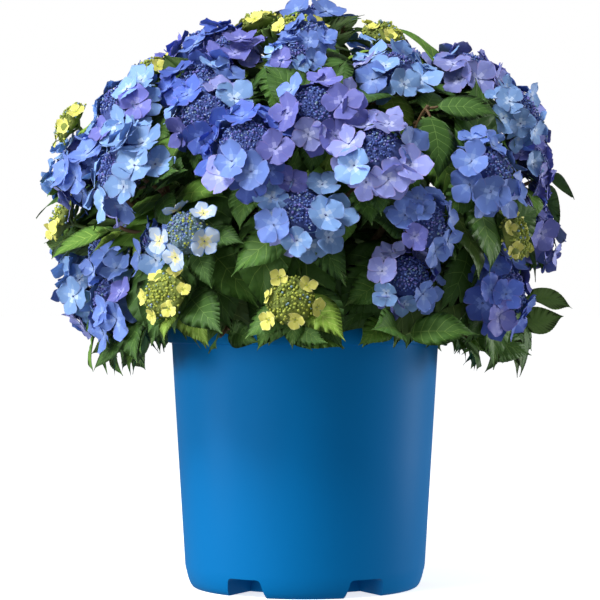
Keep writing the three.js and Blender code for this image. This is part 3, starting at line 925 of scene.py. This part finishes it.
    def floret_stance(self, j, stance, loose):
        """Where floret j stands, the way it faces, and its radius."""
        plan = STANCES[stance]
        turn = self.turn + (j + 0.5 * (stance != "ring")) * 2 * math.pi / self.plan["florets"]
        turn += loose.uniform(-0.15, 0.15)
        size = self.plan["floret"] * self.radius / self.plan["radius"] * loose.uniform(0.85, 1.12)
        tilt = loose.uniform(*plan["tilt"])
        reach = self.radius * plan["reach"] * loose.uniform(0.92, 1.06)
        height = self.radius * plan["height"] + loose.uniform(-2, 2)
        if stance == "over":
            turn = loose.uniform(0, 2 * math.pi)
            reach, tilt = self.radius * loose.uniform(0.36, 0.5), loose.uniform(0.1, 0.6)
            height = self.radius * loose.uniform(0.32, 0.42)
        if self.kind == "Y":
            reach, tilt = self.radius * loose.uniform(0.55, 0.95), loose.uniform(0.2, 1.1)
            height = self.radius * mix(0.4, 0.1, reach / self.radius)
        spoke = np.array([math.sin(turn), -math.cos(turn), 0])
        face = unit(spoke * math.sin(tilt) + UP * math.cos(tilt) + loose.normal(0, 0.12, 3))
        return spoke * reach + [0, 0, height], face, size

    def draw_rays(self, pieces):
        """Stalks from the twig's tip to the florets and to the knobs of the dome."""
        foot = np.array([0, 0, -self.radius * BLOOM_DEPTH])
        knobs = np.column_stack([self.knobs, self.dome(self.knobs, 0) - 3])
        tone = 1 if self.kind in "FGS" else 0
        for ends, thick in (([plate[0] for plate in self.floret_plates], 0.45), (knobs, 0.7)):
            for end in ends:
                bend = end * [0.45, 0.45, 0] + [0, 0, mix(foot[2], end[2], 0.35)]
                path = evenly(bezier(foot, bend, end), 5)
                points, faces = tube(path, np.linspace(thick * 1.5, thick, 5), 4)
                pieces["rays"].add(self.placed(points), faces, tone)
        root = foot + [0, 0, -2]
        points, faces = tube(np.array([root, foot, foot + [0, 0, 3]]), [1.9, 2.1, 1.2], 8)
        pieces["rays"].add(self.placed(points), faces, 0)


# ---- Stem, canes and twigs ---------------------------------------------------------------------------
def barked(path, radii, sides, relief, seed):
    """A limb whose surface has ridges along it and rings round it."""
    loose = np.random.default_rng(seed)
    points, faces = tube(path, radii, sides)
    count = len(path)
    spokes = points[: count * sides].reshape(count, sides, 3) - path[:, None]
    ridge = loose.uniform(-1, 1, sides)
    wander = np.cumsum(loose.normal(0, 0.35, (count, sides)), axis=0)
    wander -= wander.mean(axis=1)[:, None]
    shape = 1 + relief * (ridge[None] * 0.6 + np.tanh(wander) * 0.7)
    points[: count * sides] = (path[:, None] + spokes * shape[..., None]).reshape(-1, 3)
    return points, faces


def make_stem():
    heights = np.linspace(0, 1, 46)
    radii = [STEM["flare"], STEM["waist"] + 2, STEM["waist"], STEM["top"]]
    wide = np.interp(heights, [0, 0.18, 0.5, 1], radii)
    sway = [1.2 * np.sin(heights * 3) * heights, 0.8 * np.sin(heights * 4) * heights]
    path = np.stack(sway + [STEM_FOOT + heights * STEM["height"]], axis=1)
    bark = add_relief(new_material("bark", "6d5640", 0.9), "noise", 240, 0.8, 0.0012)
    piece = Piece("stem_bark", [add_mottle(bark, ("4c3a2a", "8d7658"), 90)], "bark")
    piece.add(*barked(path, wide * 0.96, 56, 0.05, 3))
    piece.finish("stem")


def make_canes():
    bark = add_relief(new_material("cane_bark", "7a6248", 0.8), "noise", 320, 0.6, 0.0008)
    piece = Piece("canes", [add_mottle(bark, ("5a4630", "94805c"), 120)], "cane")
    for number, mass in enumerate(MASSES):
        path = evenly(mass.cane, 40)
        keep = path[:, 2] > STEM_FOOT + 4
        radii = np.linspace(3.4, 3.0, 40) * (1 + 0.1 * np.sin(np.arange(40) * 0.9) ** 8)
        piece.add(*barked(path[keep], radii[keep], 14, 0.05, 20 + number))
    piece.finish(*[n for n in NODES if n.startswith("cane_")])


def stalk_materials(name, codes):
    return [new_material(f"{name}_{tone}", code, 0.6) for tone, code in codes.items()]


def foliage_pieces(side):
    twig_codes = {"green": "6f8a44", "russet": "6a5236"}
    ray_codes = {"green": "8a9a5a", "violet": "5a5a90"}
    rays = stalk_materials(f"ray_{side}", ray_codes)
    return dict(
        leaves=Piece(f"leaves_{side}", LEAF_MATERIALS, "leaf"),
        florets=Piece(f"florets_{side}", PETAL_MATERIALS, "floret_blue"),
        buds=Piece(f"buds_{side}", BUD_MATERIALS, "bud_blue"),
        # The cushions carry painted shade: the bud tones darkened under the buds.
        cushions=Piece(f"bud_cushions_{side}", SHADED_CUSHION_MATERIALS, "bud_blue"),
        rays=Piece(f"cluster_stalks_{side}", rays, "young_leaf"),
        twigs=Piece(f"twigs_{side}", stalk_materials(f"twig_{side}", twig_codes), "cane"),
    )


def make_foliage():
    groups = {side: foliage_pieces(side) for side in ("upper", "left", "right")}
    for bloom in BLOOM_LIST:
        bloom.draw(groups[bloom.shoot.mass.side])
    others = Placed()
    for number, mass in enumerate(MASSES):
        pieces = groups[mass.side]
        half = mass.onward * np.linalg.norm(mass.entry - mass.fork) / 2
        path = bezier(mass.entry + mass.onward * CLEAR, mass.entry + half, mass.fork)
        pieces["twigs"].add(*tube(evenly(path, 10), np.linspace(3, 3.4, 10), 10), 1)
        wanted = []
        for shoot in [s for s in SHOOTS + SIDE_SHOOTS if s.mass is mass]:
            twig = shoot.twig()
            points, faces = tube(evenly(twig, 14), np.linspace(2.3, 1.6, 14), 8)
            pieces["twigs"].add(points, faces, int(shoot.kind != "Y"))
            wanted += leaves_of(shoot, twig)
        for leaf in wanted:
            if leaf.fit(lambda points: in_space(points, mass), others):
                draw_leaf(leaf, pieces)
        for leaf in inner_leaves(mass, number):
            if leaf.fit(in_reach, others):
                draw_leaf(leaf, pieces)
    for side, pieces in groups.items():
        nodes = [f"foliage_{m.name}" for m in MASSES if m.side == side]
        for piece in pieces.values():
            piece.finish(*nodes)


def draw_leaf(leaf, pieces):
    points = leaf.shape(leaf.axes, leaf.size, leaf.blade)
    pieces["leaves"].add(points, leaf.blade.faces, leaf.blade.zones + 4 * leaf.tone)
    base = leaf.root + leaf.axes[:, 0] * leaf.size * (PETIOLE + 0.02)
    path = bezier(leaf.root, (leaf.root + base) / 2 - UP * leaf.size * 0.01, base, 6)
    petiole = tube(path, np.linspace(1.5, 1.0, 6), 6)
    pieces["twigs"].add(*petiole, int(leaf.tone in RUSSET_STALKED))


# ---- Pot and potting mix -----------------------------------------------------------------------------
def turned(name, profile, sides):
    """A closed body from a profile of radius and height that starts and ends on the axis."""
    turns = np.linspace(0, 2 * math.pi, sides, endpoint=False)
    middle = profile[1:-1]
    rings = [np.column_stack([r * around(turns), np.full(sides, z)]) for r, z in middle]
    points = np.vstack(rings + [[[0, 0, profile[0][1]], [0, 0, profile[-1][1]]]]) * MM
    faces = []
    count = len(middle)
    for i in range(count - 1):
        for j in range(sides):
            k = (j + 1) % sides
            faces.append((i * sides + j, i * sides + k, (i + 1) * sides + k, (i + 1) * sides + j))
    mesh = bpy.data.meshes.new(name)
    mesh.from_pydata(points.tolist(), [], faces + end_fans(count, sides))
    return add_object(name, mesh)


def lower_profile(inset, count):
    foot, shoulder, height = POT["foot"] - inset, POT["shoulder"] - inset, POT["bend"]
    bend = np.array([foot + 5, 0, inset + 2])
    curve = bezier(np.array([foot, 0, inset]), bend, np.array([shoulder, 0, height]), count)
    return [(0, inset)] + [(x, z) for x, _, z in curve]


def recess(number, grow):
    """One block that cuts a recess between the feet, with round upper corners."""
    half_below, half_above = NOTCH["below"] / 2 + grow, NOTCH["above"] / 2 + grow
    top, corner = NOTCH["height"] + grow, NOTCH["corner"]
    middle = np.array([half_above - corner, top - corner])
    right = [tuple(middle + corner * place) for place in around(np.linspace(0, math.pi / 2, 6))]
    outline = [(-half_below, -5), (half_below, -5)] + right + [(-x, z) for x, z in right[::-1]]
    turn = 2 * math.pi * (number + 0.5) / NOTCH["count"]
    direction = np.array([math.sin(turn), -math.cos(turn), 0])
    across = np.array([math.cos(turn), math.sin(turn), 0])
    ends = (NOTCH["inner"] - grow, POT["rim"] + 4)
    points = [direction * r + across * x + UP * z for r in ends for x, z in outline]
    n = len(outline)
    faces = [tuple(range(n))[::-1], tuple(range(n, 2 * n))]
    faces += [(j, (j + 1) % n, n + (j + 1) % n, n + j) for j in range(n)]
    mesh = bpy.data.meshes.new("recess")
    mesh.from_pydata([(p * MM).tolist() for p in points], [], faces)
    return add_object("recess", mesh)


def cut(body, blocks):
    """The body with the blocks cut away; the blocks are used up."""
    for block in blocks:
        change = body.modifiers.new("cut", "BOOLEAN")
        change.object, change.operation, change.solver = block, "DIFFERENCE", "EXACT"
    graph = bpy.context.evaluated_depsgraph_get()
    mesh = bpy.data.meshes.new_from_object(body.evaluated_get(graph))
    body.modifiers.clear()
    body.data = mesh
    for block in blocks:
        bpy.data.objects.remove(block)
    return body


def coat(body, material):
    """One material and smooth shading for a whole body."""
    body.data.materials.clear()
    body.data.materials.append(material)
    body.data.polygons.foreach_set("use_smooth", [True] * len(body.data.polygons))


def make_pot():
    height, rim, top, wall, bead = (POT[key] for key in ("height", "rim", "top", "wall", "bead"))
    lip = [(rim - bead + bead * x, height - bead + bead * z) for x, z in around(np.linspace(0, math.pi, 13))]
    lip_inside = lip[-1][0]
    outside = lower_profile(0, 9) + [
        (mix(POT["shoulder"], top, 0.5), mix(POT["bend"], RIM_FOOT, 0.5)),
        (top - 0.2, RIM_FOOT - 2),
        (top + 0.2, RIM_FOOT),
        (rim - 1.2, RIM_FOOT),
        (rim - 0.3, RIM_FOOT + 0.4),
        (rim, RIM_FOOT + 1.4),
    ]
    outside += lip + [(0, height - bead)]
    room = lower_profile(wall, 9) + [(top - wall, RIM_FOOT), (lip_inside, height - bead)]
    room += [(lip_inside, height + 9), (0, height + 9)]
    pot = cut(turned("nursery_pot", outside, 180), [recess(i, 0) for i in range(NOTCH["count"])])
    hollow = cut(turned("room", room, 180), [recess(i, wall) for i in range(NOTCH["count"])])
    cut(pot, [hollow])
    plastic = add_relief(new_material("pot_plastic", "0476bc", 0.45, 1.0, 0.06), "noise", 40, 0.06, 0.002)
    coat(pot, plastic)
    pot.data.set_sharp_from_angle(angle=math.radians(32))
    dress(pot, "pot", ["pot"])


CRUMBS = 700
CRUMB_TONES = ("4a3626", "63492f", "2a1f16", "8a8378")
CRUMB_CHANCES = (0.45, 0.25, 0.25, 0.05)


def make_soil():
    inset = POT["wall"] + CLEAR
    share = (SOIL_LEVEL - POT["bend"]) / (RIM_FOOT - POT["bend"])
    edge = mix(POT["shoulder"], POT["top"], share) - inset
    radii = np.linspace(edge, 4, 26)
    profile = lower_profile(inset, 5)
    profile += [(r, SOIL_LEVEL + MOUND * (1 - (r / edge) ** 2)) for r in radii] + [(0, SOIL_LEVEL + MOUND)]
    soil = cut(turned("soil", profile, 120), [recess(i, inset) for i in range(NOTCH["count"])])
    loose = np.random.default_rng(5)
    for vertex in soil.data.vertices:
        out = math.hypot(vertex.co.x, vertex.co.y) / MM
        if vertex.co.z > (SOIL_LEVEL + 0.2) * MM and STEM["flare"] + 5 < out < edge - 2:
            vertex.co.z -= loose.uniform(0, 2.2) * MM
    dirt = add_relief(new_material("potting_mix", "2c2118", 0.95), "noise", 300, 1.0, 0.002)
    coat(soil, add_mottle(dirt, ("1e1610", "453425"), 160))
    dress(soil, "potting_mix", ["potting_mix"])

    tones = [new_material(f"crumb_{i}", code, 0.95) for i, code in enumerate(CRUMB_TONES)]
    crumbs = Piece("bark_crumbs", tones, "potting_mix")
    for _ in range(CRUMBS):
        reach = math.sqrt(loose.uniform(0.05, 1)) * (edge - 4)
        turn = loose.uniform(0, 6.3)
        sizes = loose.uniform(0.8, 3.4, 3) * [1, 0.7, 0.5]
        points = ICOSAHEDRON[0] * loose.uniform(0.75, 1.2, (12, 1)) * sizes
        own = standing(unit(loose.normal(0, 1, 3)))
        height = SOIL_LEVEL + MOUND * (1 - (reach / edge) ** 2) - 0.4
        place = [reach * math.cos(turn), reach * math.sin(turn), height]
        tone = loose.choice(len(tones), p=CRUMB_CHANCES)
        crumbs.add(points @ own.T + place, ICOSAHEDRON[1], tone)
    crumbs.finish("potting_mix", smooth=False)


# ---- Camera, light and floor -------------------------------------------------------------------------
# Places are in metres from here on; the lens and the film stay in millimetres.
CAMERA = dict(place=(-0.0045, -2.0, 0.2555), lens=133.63, film=36)
# Name, place, what it points at, diameter and power in watts.
LIGHTS = [
    ("key", (-0.9, -1.1, 1.9), (0, 0, 0.26), 0.9, 46),
    ("front", (-1.3, -1.5, 0.1), (0, 0, 0.2), 0.8, 11),
    ("left", (-1.85, -0.35, 0.15), (0, 0, 0.18), 0.7, 20),
    ("right", (1.8, 0.5, 0.15), (0, 0, 0.18), 0.6, 22),
]
FILL = dict(colour=(0.93, 0.96, 1, 1), strength=0.33)
WHITE = (1, 1, 1, 1)


def make_camera():
    data = bpy.data.cameras.new("camera")
    data.lens, data.sensor_width = CAMERA["lens"], CAMERA["film"]
    camera = add_object("camera", data)
    camera.location = CAMERA["place"]
    camera.rotation_euler = (math.pi / 2, 0, 0)
    bpy.context.scene.camera = camera


def make_light(name, place, aim, size, power):
    data = bpy.data.lights.new(name, "AREA")
    data.shape, data.size, data.energy = "DISK", size, power
    light = add_object(name, data)
    light.location = place
    light.rotation_euler = (Vector(place) - Vector(aim)).to_track_quat("Z", "Y").to_euler()


def make_surroundings():
    world = bpy.data.worlds.new("studio")
    world.use_nodes = True
    bpy.context.scene.world = world
    nodes, links = world.node_tree.nodes, world.node_tree.links
    seen, fill = nodes["Background"], nodes.new("ShaderNodeBackground")
    seen.inputs["Color"].default_value = WHITE
    fill.inputs["Color"].default_value = FILL["colour"]
    fill.inputs["Strength"].default_value = FILL["strength"]
    rays, joined = nodes.new("ShaderNodeLightPath"), nodes.new("ShaderNodeMixShader")
    links.new(rays.outputs["Is Camera Ray"], joined.inputs["Fac"])
    links.new(fill.outputs["Background"], joined.inputs[1])
    links.new(seen.outputs["Background"], joined.inputs[2])
    links.new(joined.outputs["Shader"], nodes["World Output"].inputs["Surface"])

    mesh = bpy.data.meshes.new("floor")
    corners = [(-30, -30, 0), (30, -30, 0), (30, 30, 0), (-30, 30, 0)]
    mesh.from_pydata(corners, [], [(0, 1, 2, 3)])
    floor = add_object("floor", mesh)
    paper = new_material("floor_paper", "f4f4f4", 0.9, 1.0, 0.1)
    shader = paper.node_tree.nodes["Principled BSDF"]
    shader.inputs["Emission Color"].default_value = WHITE
    shader.inputs["Emission Strength"].default_value = 0.75
    mesh.materials.append(paper)
    floor.visible_diffuse = floor.visible_glossy = False

    for light in LIGHTS:
        make_light(*light)
    bpy.context.scene.view_settings.view_transform = "Standard"


BLOOM_LIST = [Bloom(shoot) for shoot in SHOOTS + SIDE_SHOOTS if shoot.kind != "L"]
for bloom in BLOOM_LIST:
    bloom.crowd(BLOOM_LIST)
BLOOM_MIDDLES = np.array([b.shoot.middle for b in BLOOM_LIST])
BLOOM_AXES = np.array([b.shoot.axis for b in BLOOM_LIST])
BLOOM_RADII = np.array([b.radius for b in BLOOM_LIST])

make_camera()
make_surroundings()
make_pot()
make_soil()
make_stem()
make_canes()
make_foliage()
